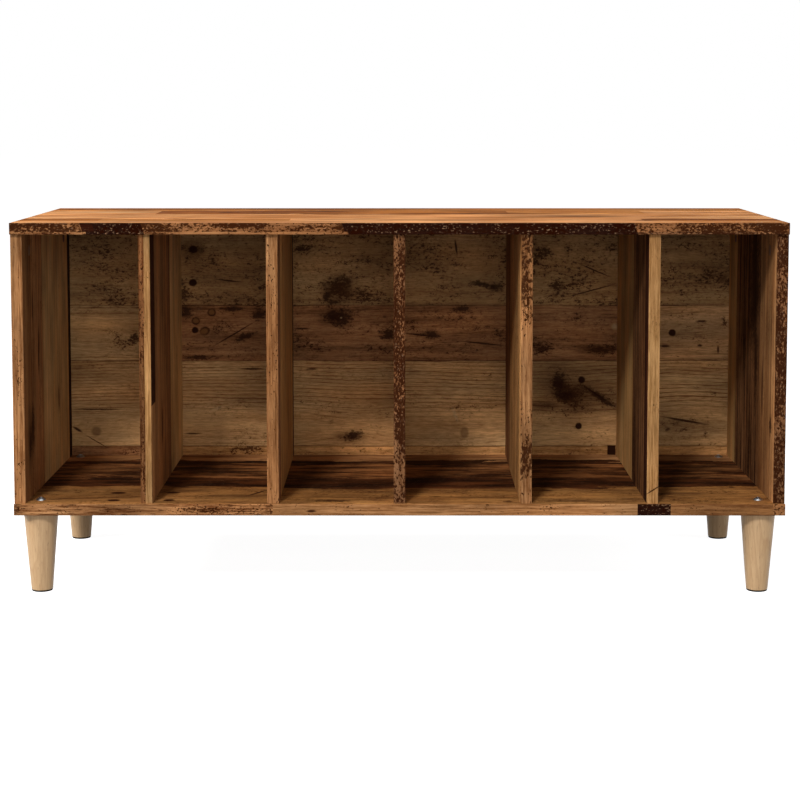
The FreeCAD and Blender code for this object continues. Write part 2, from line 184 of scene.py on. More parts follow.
class Wood(Enum):
    """The sorts of plank that the print shows."""

    PINE = Tone("#D0A46F", "#764E2F", 0.62, 0.24, 0.2, 0.35)
    GREY_PINE = Tone("#C89A6A", "#6C4A2E", 0.5, 0.36, 0.3, 0.4)
    PITTED_OLIVE = Tone("#B68C5C", "#765436", 0.2, 0.58, 0.3, 0.45)
    RED_BROWN = Tone("#B07C52", "#603C22", 0.25, 0.46, 0.5, 0.6)
    SILL = Tone("#D69F64", "#845830", 0.3, 0.4, 0.4, 0.6)
    FLOOR_TAN = Tone("#A4713E", "#644022", 0.25, 0.45, 0.65, 0.75)
    FLOOR_GOLD = Tone("#AE7841", "#6A4424", 0.25, 0.45, 0.65, 0.75)
    FLOOR_BLACK = Tone("#5E341A", "#1E0C05", 0.1, 0.2, 0.4, 1.0)
    FLOOR_STREAKED = Tone("#9C6439", "#2E1508", 0.1, 0.3, 0.55, 1.0)
    BLACK_STREAKED = Tone("#9A6A44", "#2C1206", 0.15, 0.2, 0.35, 1.0)
    BROWN = Tone("#C08B5A", "#784E2E", 0.25, 0.2, 0.25, 0.75)
    OLIVE = Tone("#CEA067", "#A27847", 0.2, 0.12, 0.15, 0.5)
    PALE_OLIVE = Tone("#E4BC82", "#B48C5A", 0.2, 0.12, 0.15, 0.5)
    RED_STREAKED = Tone("#A6744C", "#4C2A16", 0.2, 0.2, 0.4, 0.9)
    ORANGE = Tone("#DA9E6A", "#9C6234", 0.45, 0.2, 0.4, 0.8)
    ORANGE_MID = Tone("#C4844A", "#7A4418", 0.4, 0.25, 0.45, 0.95)
    ORANGE_DARK = Tone("#A8672F", "#60300F", 0.4, 0.25, 0.35, 1.0)
    MOTTLED = Tone("#98663F", "#5A321A", 0.0, 0.78, 0.35, 0.4, 0.35)
    BLACK_FLECKED = Tone("#26120B", "#140603", 0.0, 0.7, 0.4, 0.6, 0.6)
    # Near-black print; on the left side and divider 2 it is also painted shade in the back corner.
    NEAR_BLACK = Tone("#34150A", "#160602", 0.0, 0.2, 0.3, 0.9)
    DARK_MOTTLED = Tone("#8C6140", "#56321C", 0.0, 0.88, 0.4, 0.5, 0.35)
    EDGE_SMOOTH = Tone("#BC8E5D", "#886138", 0.1, 0.15, 0.15, 0.9)
    EDGE_TAN = Tone("#AA7A50", "#6E4628", 0.1, 0.32, 0.4, 0.85, 0.2)
    EDGE_PALE = Tone("#B48256", "#784F2D", 0.1, 0.32, 0.4, 0.85, 0.2)
    EDGE_SMEARED = Tone("#B48256", "#562E14", 0.1, 0.36, 0.85, 0.85, 0.2)
    EDGE_BROWN = Tone("#9A6A40", "#643E22", 0.1, 0.2, 0.4, 0.85)
    EDGE_ORANGE = Tone("#A6744A", "#6A4024", 0.1, 0.55, 0.5, 0.7, 0.25)
    EDGE_RED = Tone("#825634", "#4E2A14", 0.1, 0.55, 0.5, 0.9, 0.2)


SORTS = tuple(Wood)


@dataclass(frozen=True)
class Plank:
    """One plank of a row: where it starts along the grain, its sort, and a seed for its own grain."""

    start: float
    wood: Wood
    seed: float


@dataclass(frozen=True)
class Row:
    """A row of planks: its start across the grain, where its rings centre and how far apart they are."""

    start: float
    planks: tuple[Plank, ...]
    pith: float = 0.0
    ring_gap: float = 6.0


class Stain(Enum):
    """Kinds of printed mark: colour, strength, share of soft rim, raggedness in mm, and how frayed it is.

    A knot or a worn spot isn't drawn by itself: the plank's own wear gathers there.
    """

    SHADE = ("#3C1E0C", 0.85, 0.95, 9.0, 0.8)
    # Mostly print; one large smudge on the right side is painted shade.
    SMUDGE = ("#280E05", 0.88, 0.5, 10.0, 2.8)
    PALE = ("#D2AF80", 0.45, 0.6, 3.0, 0.0)
    PLUG = ("#4C3018", 0.55, 0.35, 1.0, 0.0)
    KNOT = ("#2C0E04", 0.28, 0.9, 12.0, 0.0)
    WORN = ("#2C0E04", 0.18, 0.9, 12.0, 0.0)
    CRACK = ("#2C0F05", 0.92, 0.45, 1.8, 0.3)
    HOLE = ("#260A02", 0.98, 0.25, 1.8, 0.0)
    HEART = ("#80552F", 0.85, 0.4, 1.8, 0.6)
    NOTCH = ("#220A02", 0.98, 0.15, 1.2, 0.0)


GATHERED = (Stain.KNOT, Stain.WORN)


@dataclass(frozen=True)
class Mark:
    """A printed mark: its middle along and across the grain, half its size, and its turn in degrees."""

    stain: Stain
    along: float
    across: float
    length: float
    width: float
    turn: float = 0.0


def marked(stain: Stain, *places: tuple[float, ...]) -> tuple[Mark, ...]:
    """Makes several marks of one kind.

    Args:
        stain: the kind.
        places: each mark's middle along and across the grain, its half length and width, and its turn.

    Returns:
        The marks.
    """
    return tuple(Mark(stain, *place) for place in places)


@dataclass
class OldWoodPrint(Finish):
    """Melamine-faced board with a print of old pine planks, pressed to a soft satin.

    The eye gets plank joints, growth rings, long streaks, pits, ragged smears and nail holes, all in one
    flat and evenly satin skin.
    """

    node: str
    grain: Axis
    across: Axis
    rows: tuple[Row, ...]
    marks: tuple[Mark, ...] = ()
    deep: str = "#2C0E04"
    speck: float = 3.0
    blotch: float = 0.0
    streak_length: float = 260.0
    streak_width: float = 9.0
    smear_length: float = 46.0
    smear_width: float = 6.5
    fibre_length: float = 16.0
    fibre_width: float = 1.5
    ragged: float = 1.6
    joint: float = 0.5
    slant: float = 0.0
    raw_rear: bool = False
    seed: float = 0.0
    gloss: float = 0.04

    RING_WAVE = 12.0
    RIPPLE_WAVE = 3.0
    RING_DEPTH = (4.0, 40.0)
    RING_FADE = (12.0, 46.0)
    MOST_RING_GAP = 20.0
    # Sizes of patterns along and across the grain
    ROW_BEND = (110.0, 30.0)
    RING_BEND = (340.0, 130.0)
    RING_RIPPLE = (60.0, 9.0)
    RING_RISE = (400.0, 900.0)
    RING_BREAK = (90.0, 7.0)
    CLOUD = (120.0, 45.0)
    HUE = (170.0, 40.0)
    WORN_PATCH = (60.0, 30.0)
    JOINT_BREAK = (50.0, 20.0)
    PRESSED = (24.0, 1.8, 1.8)
    ROUGHNESS = (0.68, 0.8)
    RELIEF = 0.12
    PIT_GAP = 8.0
    FLECK = "#A07C5E"
    GREYER = (0.98, 1.02, 1.04, 1.0)
    REDDER = (1.05, 0.98, 0.9, 1.0)
    BARE = ((0.3, "#6B4A2E"), (0.5, "#86613F"), (0.7, "#9C7850"))
    SEED_STEP = Vector((977.0, 0.0, 431.0))

    def __post_init__(self) -> None:
        """Builds the material and gives it to its node."""
        super().__init__("melamine print of old pine on " + self.node)
        self.place()
        self.choose_planks()
        colour, dark_share = self.grain_colour()
        colour = self.draw_joints(colour)
        for stain in Stain:
            if stain not in GATHERED:
                colour = self.draw_marks(colour, stain)
        if self.raw_rear:
            colour = self.bare_rear(colour)
        rough = self.add(RANGE, {0: dark_share, 3: self.ROUGHNESS[0], 4: self.ROUGHNESS[1]})
        relief = self.add(BUMP, {"Height": self.pressed(), "Strength": 0.25, "Distance": self.RELIEF * MM})
        shader = self.add(SURFACE, {"Base Color": colour, "Roughness": rough, "Normal": relief, "IOR": 1.5,
                                    "Specular IOR Level": self.gloss})
        self.add(OUTPUT, {"Surface": shader})
        self.dress(self.node)

    def pressed(self) -> Socket:
        """The faint grain that the press plate leaves in the melamine, whatever is printed under it."""
        cells = self.add(VECTOR, {0: self.flat, 1: self.PRESSED}, operation="DIVIDE")
        return self.add(NOISE, {"Vector": cells, "Scale": 1.0, "Detail": 2.0})

    def extent(self, axis: Axis) -> tuple[float, float]:
        """The node's lowest and highest place on an axis, in millimetres."""
        lowest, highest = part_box(self.node)
        return lowest[axis.value] / MM, highest[axis.value] / MM

    def place(self) -> None:
        """Keeps the point as along the grain, across it and through the board."""
        point = self.millimetres()
        through = next(axis for axis in Axis if axis not in (self.grain, self.across))
        self.along = self.add(SEPARATE, {0: point}, self.grain.value)
        self.over = self.add(SEPARATE, {0: point}, self.across.value)
        depth = self.add(SEPARATE, {0: point}, through.value)
        self.point = self.flat = self.add(COMBINE, {0: self.along, 1: self.over, 2: depth})

    def stretched(self, length: float, breadth: float, lot: float, detail: float = 3.0,
                  roughness: float = 0.5, twist: float = 0.0) -> Socket:
        """Noise drawn out along the grain.

        Args:
            length: the size of its cells along the grain.
            breadth: their size across it and through the board.
            lot: sets it apart from other noise of the same size.
            detail: how many finer layers it has.
            roughness: how strong those are.
            twist: how far it is folded over itself.

        Returns:
            A value of about 0.5 on average.
        """
        shift = (7.3 * lot + 13.7 * self.seed, 3.1 * lot, 5.7 * lot + 9.1 * self.seed)
        cells = self.add(VECTOR, {0: self.point, 1: (1 / length, 1 / breadth, 1 / breadth), 2: shift},
                         operation="MULTIPLY_ADD")
        return self.add(NOISE, {"Vector": cells, "Scale": 1.0, "Detail": detail, "Roughness": roughness,
                                "Distortion": twist})

    def choose_planks(self) -> None:
        """Finds the sort and seed of the plank at this point, and its row's rings."""
        low, high = self.extent(self.grain)
        first, last = self.extent(self.across)
        wobble = self.stretched(*self.ROW_BEND, 0.0, detail=5.0, roughness=0.6)
        sway = self.add(RANGE, {0: wobble, 3: -self.ragged, 4: self.ragged})
        self.edge = self.add(MATH, {0: self.over, 1: sway}, operation="ADD")
        lean = self.add(MATH, {0: self.over, 1: last}, operation="SUBTRACT")
        cut = self.add(MATH, {0: lean, 1: self.slant, 2: self.along}, operation="MULTIPLY_ADD")
        reach = self.add(RANGE, {0: cut, 1: low, 2: high})
        kind = None
        for row in self.rows:
            stops = tuple((max(0.0, (plank.start - low) / (high - low)),
                           ((SORTS.index(plank.wood) + 0.5) / len(SORTS), plank.seed,
                            row.ring_gap / self.MOST_RING_GAP, 1.0)) for plank in row.planks)
            here = self.add(RAMP, {0: reach}, stops=stops, held=True)
            if kind is None:
                kind = here
                continue
            beyond = self.add(MATH, {0: self.edge, 1: row.start}, operation="GREATER_THAN")
            kind = self.add(MIX, {0: beyond, MIX_A: kind, MIX_B: here}, **MIX_COLOURS)
        self.index, own, gap = (self.add(SEPARATE_COLOUR, {0: kind}, part) for part in range(3))
        self.ring_gap = self.add(MATH, {0: gap, 1: self.MOST_RING_GAP}, operation="MULTIPLY")
        piths = tuple((max(0.0, (row.start - first) / (last - first)),
                       ((row.pith - first) / (last - first), 0.0, 0.0, 1.0)) for row in self.rows)
        across = self.add(RANGE, {0: self.edge, 1: first, 2: last})
        pith = self.add(SEPARATE_COLOUR, {0: self.add(RAMP, {0: across}, stops=piths, held=True)}, 0)
        self.pith = self.add(MATH, {0: pith, 1: last - first, 2: first}, operation="MULTIPLY_ADD")
        shift = self.add(VECTOR, {0: self.SEED_STEP, "Scale": own}, operation="SCALE")
        self.point = self.add(VECTOR, {0: self.flat, 1: shift}, operation="ADD")

    def tone(self, pick: Callable[[Tone], tuple]) -> Socket:
        """Something of the plank at this point.

        Args:
            pick: gives it, as a linear colour, for a tone.

        Returns:
            The colour's socket.
        """
        stops = tuple((number / len(SORTS), pick(wood.value)) for number, wood in enumerate(SORTS))
        return self.add(RAMP, {0: self.index}, stops=stops, held=True)

    def rings(self) -> Socket:
        """Growth rings cut off the pith: straight at a plank's edges and arched between, dark and pale.

        Returns:
            1 on the dark line of a ring, 0 between.
        """
        bend = self.stretched(*self.RING_BEND, 1.0, detail=2.0)
        sway = self.add(RANGE, {0: bend, 3: -self.RING_WAVE, 4: self.RING_WAVE})
        ripple = self.stretched(*self.RING_RIPPLE, 2.0, detail=3.0)
        sway = self.add(MATH, {0: ripple, 1: self.RIPPLE_WAVE, 2: sway}, operation="MULTIPLY_ADD")
        off = self.add(MATH, {0: self.over, 1: self.pith}, operation="SUBTRACT")
        off = self.add(MATH, {0: off, 1: sway}, operation="ADD")
        rise = self.stretched(*self.RING_RISE, 3.0, detail=1.0)
        rise = self.add(RANGE, {0: rise, 1: 0.3, 2: 0.7, 3: self.RING_DEPTH[0], 4: self.RING_DEPTH[1]})
        square = self.add(MATH, {0: off, 1: off}, operation="MULTIPLY")
        square = self.add(MATH, {0: rise, 1: rise, 2: square}, operation="MULTIPLY_ADD")
        radius = self.add(MATH, {0: square}, operation="SQRT")
        turns = self.add(MATH, {0: radius, 1: self.ring_gap}, operation="DIVIDE")
        phase = self.add(MATH, {0: turns}, operation="FRACT")
        line = self.add(RAMP, {0: phase}, stops=((0.0, (0, 0, 0, 1)), (0.6, (0.06, 0.06, 0.06, 1)),
                                                 (0.86, (1, 1, 1, 1)), (0.94, (0.9, 0.9, 0.9, 1)),
                                                 (1.0, (0, 0, 0, 1))))
        broken = self.stretched(*self.RING_BREAK, 4.0, detail=4.0, roughness=0.6)
        broken = self.add(RANGE, {0: broken, 1: 0.36, 2: 0.56, 3: 0.3, 4: 1.0})
        line = self.add(MATH, {0: line, 1: broken}, operation="MULTIPLY")
        away = self.add(MATH, {0: off}, operation="ABSOLUTE")
        away = self.add(RANGE, {0: away, 1: self.RING_FADE[0], 2: self.RING_FADE[1], 3: 0.2, 4: 1.0})
        return self.add(MATH, {0: line, 1: away}, operation="MULTIPLY")

    def grain_colour(self) -> tuple[Socket, Socket]:
        """Mixes each plank's pale and dark wood by its grain, then lays pits and smears on it.

        Returns:
            The colour, and how much of it is pits and smears.
        """
        pale = self.tone(lambda tone: linear(tone.pale))
        dark = self.tone(lambda tone: linear(tone.dark))
        amounts = self.tone(lambda tone: (tone.rings, tone.wear, tone.smears, 1.0))
        ring_amount, wear_amount, smear_amount = (
            self.add(SEPARATE_COLOUR, {0: amounts}, part) for part in range(3))
        more = self.tone(lambda tone: (tone.streaks, tone.flecks, 0.0, 1.0))
        streak_amount, fleck_amount = (self.add(SEPARATE_COLOUR, {0: more}, part) for part in range(2))

        # Streaks, and fibres drawn coarser than real ones, which are finer than a pixel
        streak = self.stretched(self.streak_length, self.streak_width, 5.0, detail=5.0, roughness=0.6)
        streak = self.add(RANGE, {0: streak, 1: 0.34, 2: 0.66, 3: -0.1, 4: 1.05})
        fibre = self.stretched(self.fibre_length, self.fibre_width, 6.0, detail=4.0, roughness=0.65)
        fibre = self.add(RANGE, {0: fibre, 1: 0.3, 2: 0.7, 3: -0.22, 4: 0.5})
        share = self.add(MATH, {0: streak, 1: streak_amount, 2: fibre}, operation="MULTIPLY_ADD")
        share = self.add(MATH, {0: self.rings(), 1: ring_amount, 2: share}, operation="MULTIPLY_ADD",
                         use_clamp=True)
        colour = self.add(MIX, {0: share, MIX_A: pale, MIX_B: dark}, **MIX_COLOURS)

        # Broad weathering: lighter and darker, redder and greyer
        cloud = self.stretched(*self.CLOUD, 7.0, detail=4.0)
        bright = self.add(RANGE, {0: cloud, 1: 0.3, 2: 0.7, 3: 0.7, 4: 1.3})
        colour = self.add(VECTOR, {0: colour, "Scale": bright}, operation="SCALE")
        hue = self.stretched(*self.HUE, 8.0, detail=3.0)
        cast = self.add(RAMP, {0: hue}, stops=((0.35, self.GREYER), (0.65, self.REDDER)))
        colour = self.add(VECTOR, {0: colour, 1: cast}, operation="MULTIPLY")

        worn = self.wear(wear_amount, smear_amount)
        deep = self.add(MIX, {0: 0.9, MIX_A: dark, MIX_B: linear(self.deep)}, **MIX_COLOURS)
        colour = self.add(MIX, {0: worn, MIX_A: colour, MIX_B: deep}, **MIX_COLOURS)
        flecks = self.add(RANGE, {0: self.specks, 1: 0.32, 2: 0.41, 3: 1.0, 4: 0.0})
        flecks = self.add(MATH, {0: flecks, 1: fleck_amount}, operation="MULTIPLY")
        fleck = linear(self.FLECK)
        colour = self.add(MIX, {0: flecks, MIX_A: colour, MIX_B: fleck}, **MIX_COLOURS)
        return colour, worn

    def wear(self, wear_amount: Socket, smear_amount: Socket) -> Socket:
        """Lays fine specks with soft halos, worm lines and smears, thicker where the wood is worn.

        Args:
            wear_amount: how worn the plank is, 0 to 1.
            smear_amount: how smeared it is, 0 to 1.

        Returns:
            How dark the wear is, 0 to 1.
        """
        cluster = self.stretched(*self.WORN_PATCH, 10.0, detail=5.0, roughness=0.6)
        level = self.add(RANGE, {0: cluster, 1: 0.3, 2: 0.7, 3: -0.13, 4: 0.13})
        level = self.add(MATH, {0: wear_amount, 1: 0.34, 2: level}, operation="MULTIPLY_ADD")
        for stain in GATHERED:
            near = self.near_marks(stain)
            if near is not None:
                level = self.add(MATH, {0: near, 1: stain.value[1], 2: level}, operation="MULTIPLY_ADD")
        self.specks = self.stretched(self.speck * 1.7, self.speck, 9.0, detail=3.0, roughness=0.6, twist=0.3)
        over = self.add(MATH, {0: self.specks, 1: level}, operation="ADD")
        hard = self.add(RANGE, {0: over, 1: 0.78, 2: 0.86, 3: 0.0, 4: 0.92})
        halo = self.add(RANGE, {0: over, 1: 0.64, 2: 0.86, 3: 0.0, 4: 0.45})
        worm = self.stretched(self.speck * 6.0, self.speck * 3.5, 12.0, detail=3.0, twist=0.6)
        worm = self.add(MATH, {0: worm, 1: 0.5}, operation="SUBTRACT")
        worm = self.add(MATH, {0: worm}, operation="ABSOLUTE")
        worm = self.add(RANGE, {0: worm, 1: 0.015, 2: 0.075, 3: 0.75, 4: 0.0})
        gate = self.add(RANGE, {0: level, 1: 0.21, 2: 0.31})
        worm = self.add(MATH, {0: worm, 1: gate}, operation="MULTIPLY")
        smear = self.stretched(self.smear_length, self.smear_width, 11.0, detail=6.0, roughness=0.68,
                               twist=0.3)
        reach = self.add(RANGE, {0: smear_amount, 3: 0.24, 4: 0.5})
        smear = self.add(MATH, {0: smear, 1: reach}, operation="ADD")
        smear = self.add(RANGE, {0: smear, 1: 1.0, 2: 1.1, 3: 0.0, 4: 0.85})
        dark = hard
        for other in (worm, smear) + ((self.blotches(level),) if self.blotch else (halo, self.pits(level))):
            dark = self.add(MATH, {0: dark, 1: other}, operation="MAXIMUM")
        return dark

    def pits(self, level: Socket) -> Socket:
        """Uneven pits that stand alone, more and larger ones where the wood is worn.

        Args:
            level: how worn it is.

        Returns:
            How dark the pits are, 0 to 1.
        """
        rough = self.add(NOISE, {"Vector": self.flat, "Scale": 0.4, "Detail": 3.0}, "Color")
        spread = self.add(VECTOR, {0: self.point, "Scale": 1 / self.PIT_GAP}, operation="SCALE")
        spread = self.add(VECTOR, {0: rough, 1: (3.2, 2.0, 0.0), 2: spread}, operation="MULTIPLY_ADD")
        far = self.add(CELLS, {"Vector": spread, "Scale": 1.0}, "Distance", voronoi_dimensions="2D")
        lot = self.add(CELLS, {"Vector": spread, "Scale": 1.0}, "Color", voronoi_dimensions="2D")
        lot = self.add(SEPARATE_COLOUR, {0: lot}, 0)
        size = self.add(MATH, {0: level, 1: 3.0, 2: lot}, operation="MULTIPLY_ADD")
        size = self.add(RANGE, {0: size, 1: 1.1, 2: 1.6, 3: 0.0, 4: 0.34})
        inside = self.add(MATH, {0: size, 1: far}, operation="SUBTRACT")
        return self.add(RANGE, {0: inside, 1: 0.0, 2: 0.1, 3: 0.0, 4: 0.9})

    def blotches(self, level: Socket) -> Socket:
        """Hard-edged blotches a few millimetres long, more of them where the wood is worn.

        Args:
            level: how worn it is.

        Returns:
            How dark the blotches are, 0 to 1.
        """
        spot = self.stretched(self.blotch * 1.6, self.blotch, 14.0, detail=2.0)
        spot = self.add(MATH, {0: spot, 1: level}, operation="ADD")
        return self.add(RANGE, {0: spot, 1: 0.78, 2: 0.82, 3: 0.0, 4: 0.94})

    def draw_joints(self, colour: Socket) -> Socket:
        """Draws the thin dark joint between rows.

        Args:
            colour: the colour under it.

        Returns:
            The colour with the joints.
        """
        nearest = None
        for row in self.rows[1:]:
            gap = self.add(MATH, {0: self.edge, 1: row.start}, operation="SUBTRACT")
            gap = self.add(MATH, {0: gap}, operation="ABSOLUTE")
            nearest = gap if nearest is None else self.add(MATH, {0: nearest, 1: gap}, operation="MINIMUM")
        if nearest is None or not self.joint:
            return colour
        line = self.add(RANGE, {0: nearest, 1: self.joint, 2: self.joint * 2.4, 3: 0.8, 4: 0.0})
        broken = self.stretched(*self.JOINT_BREAK, 15.0, detail=3.0)
        broken = self.add(RANGE, {0: broken, 1: 0.4, 2: 0.58, 3: 0.25, 4: 1.0})
        line = self.add(MATH, {0: line, 1: broken}, operation="MULTIPLY")
        return self.add(MIX, {0: line, MIX_A: colour, MIX_B: linear(self.deep)}, **MIX_COLOURS)

    def draw_marks(self, colour: Socket, stain: Stain) -> Socket:
        """Draws the marks of one kind, with ragged rims.

        Args:
            colour: the colour under them.
            stain: the kind.

        Returns:
            The colour with the marks.
        """
        mask = self.near_marks(stain)
        if mask is None:
            return colour
        hue, strength, *_ = stain.value
        mask = self.add(MATH, {0: mask, 1: strength}, operation="MULTIPLY")
        return self.add(MIX, {0: mask, MIX_A: colour, MIX_B: linear(hue)}, **MIX_COLOURS)

    def near_marks(self, stain: Stain) -> Socket | None:
        """How far inside the nearest mark of a kind the point is, with its rim made ragged.

        Args:
            stain: the kind.

        Returns:
            1 inside it and 0 outside, or None where the board has no such mark.
        """
        marks = [mark for mark in self.marks if mark.stain is stain]
        if not marks:
            return None
        _, _, rim, ragged, frayed = stain.value
        noise = self.add(NOISE, {"Vector": self.flat, "Scale": 0.2, "Detail": 5.0, "Roughness": 0.7}, "Color")
        noise = self.add(VECTOR, {0: noise, 1: (0.5, 0.5, 0.5)}, operation="SUBTRACT")
        spot = self.add(VECTOR, {0: noise, 1: (ragged, ragged, 0.0), 2: self.flat}, operation="MULTIPLY_ADD")
        spot = self.add(VECTOR, {0: spot, 1: (1.0, 1.0, 0.0)}, operation="MULTIPLY")
        nearest = None
        for mark in marks:
            turn = math.radians(mark.turn)
            off = self.add(VECTOR, {0: spot, 1: (mark.along, mark.across, 0.0)}, operation="SUBTRACT")
            way = (math.cos(turn) / mark.length, math.sin(turn) / mark.length, 0.0)
            along = self.add(VECTOR, {0: off, 1: way}, "Value", operation="DOT_PRODUCT")
            way = (-math.sin(turn) / mark.width, math.cos(turn) / mark.width, 0.0)
            over = self.add(VECTOR, {0: off, 1: way}, "Value", operation="DOT_PRODUCT")
            far = self.add(MATH, {0: along, 1: along}, operation="MULTIPLY")
            side = self.add(MATH, {0: over, 1: over}, operation="MULTIPLY")
            far = self.add(MATH, {0: far, 1: side}, operation="MAXIMUM" if stain is Stain.NOTCH else "ADD")
            nearest = far if nearest is None else self.add(MATH, {0: nearest, 1: far}, operation="MINIMUM")
        nearest = self.add(MATH, {0: nearest}, operation="SQRT")
        if frayed:
            loose = self.add(RANGE, {0: self.specks, 3: -frayed / 2, 4: frayed / 2})
            nearest = self.add(MATH, {0: nearest, 1: loose}, operation="ADD")
        return self.add(RANGE, {0: nearest, 1: 1.0 - rim, 2: 1.0 + rim * 0.3, 3: 1.0, 4: 0.0})

    def bare_rear(self, colour: Socket) -> Socket:
        """Leaves the rear of a fibreboard bare: an even warm brown with fine pressed fibres.

        Args:
            colour: the printed colour of the front.

        Returns:
            The colour of both faces.
        """
        fibres = self.add(NOISE, {"Vector": self.flat, "Scale": 0.45, "Detail": 5.0, "Roughness": 0.7})
        stops = tuple((place, linear(brown)) for place, brown in self.BARE)
        bare = self.add(RAMP, {0: fibres}, stops=stops)
        normal = self.add(GEOMETRY, {}, "Normal")
        rear = self.add(MATH, {0: self.add(SEPARATE, {0: normal}, "Y"), 1: 0.5}, operation="GREATER_THAN")
        return self.add(MIX, {0: rear, MIX_A: colour, MIX_B: bare}, **MIX_COLOURS)


class TurnedRubberwood(Finish):
    """Rubberwood turned to a taper and lacquered.

    The eye gets a pale satin wood with faint rings and short brown pores.
    """

    PALE = "#CAA981"
    DARK = "#AC865E"
    PORE = "#7D5C3E"
    ROUGHNESS = (0.38, 0.5)
    GLOSS = 0.3
    RELIEF = 0.1
    PITH = (150.0, 420.0, 0.0)
    RING_GAP = 6.5
    RING_WAVE = 14.0
    WAVE_SIZE = (30.0, 30.0, 160.0)
    FIBRE_SIZE = (2.2, 2.2, 70.0)
    PORE_LENGTH = 15.0
    # Real pores are about 0.2 mm wide; these are as wide as shows in the render
    PORE_WIDTH = 1.1

    def __init__(self) -> None:
        """Builds the material."""
        super().__init__("rubberwood turned and lacquered")
        point = self.millimetres()
        cells = self.add(VECTOR, {0: point, 1: self.WAVE_SIZE}, operation="DIVIDE")
        bend = self.add(NOISE, {"Vector": cells, "Scale": 1.0, "Detail": 2.0})
        flat = self.add(VECTOR, {0: point, 1: (1.0, 1.0, 0.0)}, operation="MULTIPLY")
        off = self.add(VECTOR, {0: flat, 1: self.PITH}, operation="SUBTRACT")
        radius = self.add(VECTOR, {0: off}, "Value", operation="LENGTH")
        radius = self.add(MATH, {0: bend, 1: self.RING_WAVE, 2: radius}, operation="MULTIPLY_ADD")
        turns = self.add(MATH, {0: radius, 1: 1 / self.RING_GAP}, operation="MULTIPLY")
        phase = self.add(MATH, {0: turns}, operation="FRACT")
        ring = self.add(RAMP, {0: phase}, stops=((0.0, (0, 0, 0, 1)), (0.8, (0.6, 0.6, 0.6, 1)),
                                                 (0.92, (1, 1, 1, 1)), (1.0, (0, 0, 0, 1))))
        cells = self.add(VECTOR, {0: point, 1: self.FIBRE_SIZE}, operation="DIVIDE")
        fibre = self.add(NOISE, {"Vector": cells, "Scale": 1.0, "Detail": 4.0, "Roughness": 0.6})
        share = self.add(RANGE, {0: fibre, 1: 0.3, 2: 0.7, 3: 0.05, 4: 0.6})
        share = self.add(MATH, {0: ring, 1: 0.35, 2: share}, operation="MULTIPLY_ADD", use_clamp=True)
        colour = self.add(MIX, {0: share, MIX_A: linear(self.PALE), MIX_B: linear(self.DARK)}, **MIX_COLOURS)
        size = (self.PORE_WIDTH, self.PORE_WIDTH, self.PORE_LENGTH)
        cells = self.add(VECTOR, {0: point, 1: size}, operation="DIVIDE")
        pore = self.add(NOISE, {"Vector": cells, "Scale": 1.0, "Detail": 1.0})
        pore = self.add(RANGE, {0: pore, 1: 0.66, 2: 0.76, 3: 0.0, 4: 0.5})
        colour = self.add(MIX, {0: pore, MIX_A: colour, MIX_B: linear(self.PORE)}, **MIX_COLOURS)
        rough = self.add(RANGE, {0: fibre, 3: self.ROUGHNESS[0], 4: self.ROUGHNESS[1]})
        relief = self.add(BUMP, {"Height": pore, "Strength": 0.3, "Distance": self.RELIEF * MM}, invert=True)
        shader = self.add(SURFACE, {"Base Color": colour, "Roughness": rough, "Normal": relief, "IOR": 1.5,
                                    "Specular IOR Level": self.GLOSS})
        self.add(OUTPUT, {"Surface": shader})


@dataclass
class SmallPartFinish(Finish):
    """A small part's finish: two close colours in a fine mottle, with its own gloss and relief."""

    name: str
    light: str
    shade: str
    grit: float
    roughness: tuple[float, float]
    metallic: float = 0.0
    drawn: float = 1.0
    gloss: float = 0.5

    RELIEF = 0.02

    def __post_init__(self) -> None:
        """Builds the material."""
        super().__init__(self.name)
        cells = self.add(VECTOR, {0: self.millimetres(), 1: (1.0, 1.0, 1 / self.drawn)}, operation="MULTIPLY")
        mottle = self.add(NOISE, {"Vector": cells, "Scale": 1 / self.grit, "Detail": 4.0, "Roughness": 0.6})
        colour = self.add(RAMP, {0: mottle}, stops=((0.35, linear(self.shade)), (0.65, linear(self.light))))
        rough = self.add(RANGE, {0: mottle, 1: 0.3, 2: 0.7, 3: self.roughness[0], 4: self.roughness[1]})
        relief = self.add(BUMP, {"Height": mottle, "Strength": 0.2, "Distance": self.RELIEF * MM})
        inputs = {"Base Color": colour, "Roughness": rough, "Normal": relief, "Metallic": self.metallic,
                  "Specular IOR Level": self.gloss}
        self.add(OUTPUT, {"Surface": self.add(SURFACE, inputs)})


